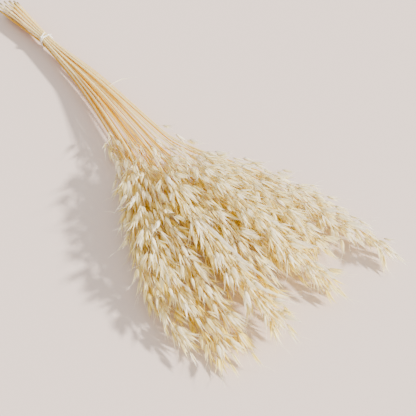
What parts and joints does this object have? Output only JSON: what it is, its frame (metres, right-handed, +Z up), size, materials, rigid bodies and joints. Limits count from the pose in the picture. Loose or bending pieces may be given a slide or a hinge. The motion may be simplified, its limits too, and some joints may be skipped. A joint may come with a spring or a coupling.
{
  "type": "bundle of dried oats",
  "caption": "Bundle of bleached dried oats lying on its side: straw culms gathered by a thin cotton tie near their cut ends, with drooping heads fanned out in a low heap of spikelets.",
  "frame": {"origin": "on the surface that the bundle lies on, under the middle of its bounding box", "axes": "+X from the cut ends to the tips of the heads, +Y to the left of the fan seen from the tie, +Z up"},
  "size_m": [0.7306, 0.2809, 0.0795],
  "materials": {
    "straw": "matte",
    "cotton": "matte"
  },
  "bodies": {
    "root": {"oat_01": "straw", "oat_02": "straw", "oat_03": "straw", "oat_04": "straw", "oat_05": "straw", "oat_06": "straw", "oat_07": "straw", "oat_08": "straw", "oat_09": "straw", "oat_10": "straw", "oat_11": "straw", "oat_12": "straw", "oat_13": "straw", "oat_14": "straw", "oat_15": "straw", "oat_16": "straw", "oat_17": "straw", "oat_18": "straw", "oat_19": "straw", "oat_20": "straw", "oat_21": "straw", "oat_22": "straw", "oat_23": "straw", "oat_24": "straw", "tie": "cotton"}
  },
  "joints": []
}
